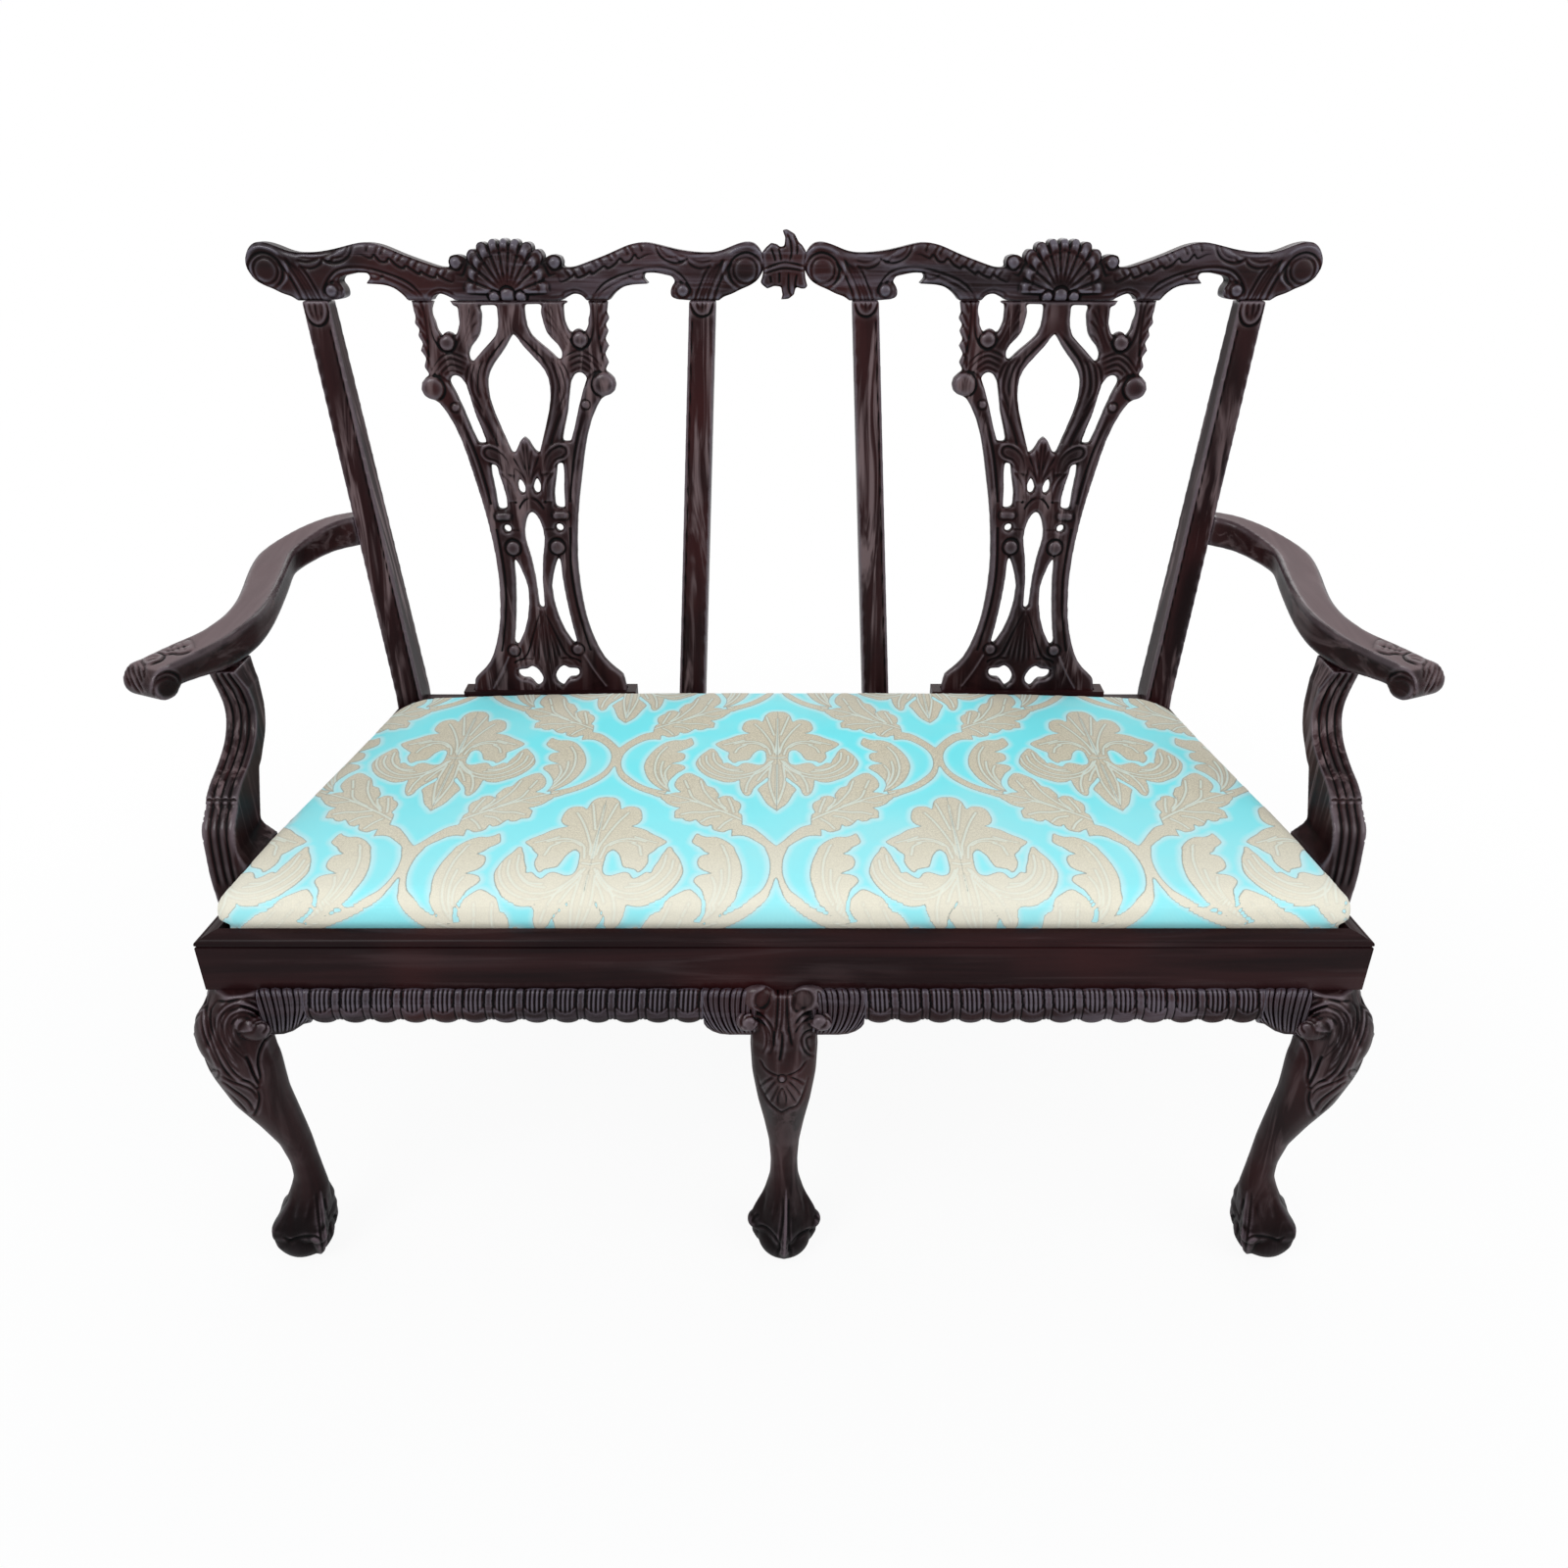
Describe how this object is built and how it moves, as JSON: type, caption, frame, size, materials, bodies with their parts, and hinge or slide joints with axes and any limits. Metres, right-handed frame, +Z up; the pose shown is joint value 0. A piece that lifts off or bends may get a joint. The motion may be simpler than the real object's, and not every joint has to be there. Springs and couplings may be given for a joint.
{
  "type": "settee",
  "caption": "Carved mahogany double chair-back settee with pierced splats, scroll arms, cabriole legs with claw-and-ball feet and a drop-in damask seat",
  "frame": {"origin": "on the floor, under the middle of the settee's bounding box", "axes": "+X to the settee's right as seen from the front, +Y from the front to the back, +Z up"},
  "size_m": [1.3206, 0.6278, 1.049],
  "materials": {
    "mahogany": "dark stained and polished, semi-gloss",
    "beech": "raw planed",
    "damask": "woven damask, aqua ground with beige-gold flowers",
    "foam": "open-cell foam pad",
    "webbing": "jute webbing",
    "cambric": "black cambric",
    "steel": "plain screws"
  },
  "bodies": {
    "frame": {"front_rail": "mahogany", "left_side_rail": "mahogany", "right_side_rail": "mahogany", "left_back_post": "mahogany", "right_back_post": "mahogany", "left_inner_stile": "mahogany", "right_inner_stile": "mahogany", "left_crest_rail": "mahogany", "right_crest_rail": "mahogany", "left_splat": "mahogany", "right_splat": "mahogany", "left_splat_shoe": "mahogany", "right_splat_shoe": "mahogany", "left_arm": "mahogany", "right_arm": "mahogany", "left_arm_support": "mahogany", "right_arm_support": "mahogany", "left_gadroon_moulding": "mahogany", "right_gadroon_moulding": "mahogany", "left_front_knee_bracket": "mahogany", "right_front_knee_bracket": "mahogany", "left_side_knee_bracket": "mahogany", "right_side_knee_bracket": "mahogany", "left_front_corner_block": "mahogany", "right_front_corner_block": "mahogany", "left_rear_corner_block": "mahogany", "right_rear_corner_block": "mahogany", "left_front_leg": "mahogany", "right_front_leg": "mahogany", "rear_rail": "mahogany", "seat_cross_rail": "mahogany", "rear_seat_batten": "mahogany", "front_centre_leg": "mahogany", "rear_centre_leg": "mahogany", "centre_crest_ornament": "mahogany", "centre_left_knee_bracket": "mahogany", "centre_right_knee_bracket": "mahogany", "left_arm_screw": "steel", "right_arm_screw": "steel", "left_support_screw_1": "steel", "right_support_screw_1": "steel", "left_support_screw_2": "steel", "right_support_screw_2": "steel", "left_front_block_screw": "steel", "right_front_block_screw": "steel", "left_rear_block_screw": "steel", "right_rear_block_screw": "steel"},
    "drop_in_seat": {"front_seat_bar": "beech", "rear_seat_bar": "beech", "left_seat_bar": "beech", "right_seat_bar": "beech", "centre_seat_bar": "beech", "seat_webbing": "webbing", "seat_pad": "foam", "seat_cover": "damask", "seat_dust_cover": "cambric"}
  },
  "joints": [
    {"name": "seat_lift", "type": "slide", "parent": "frame", "child": "drop_in_seat", "axis": [0, 0, 1], "range_m": [0, 0.6]}
  ]
}
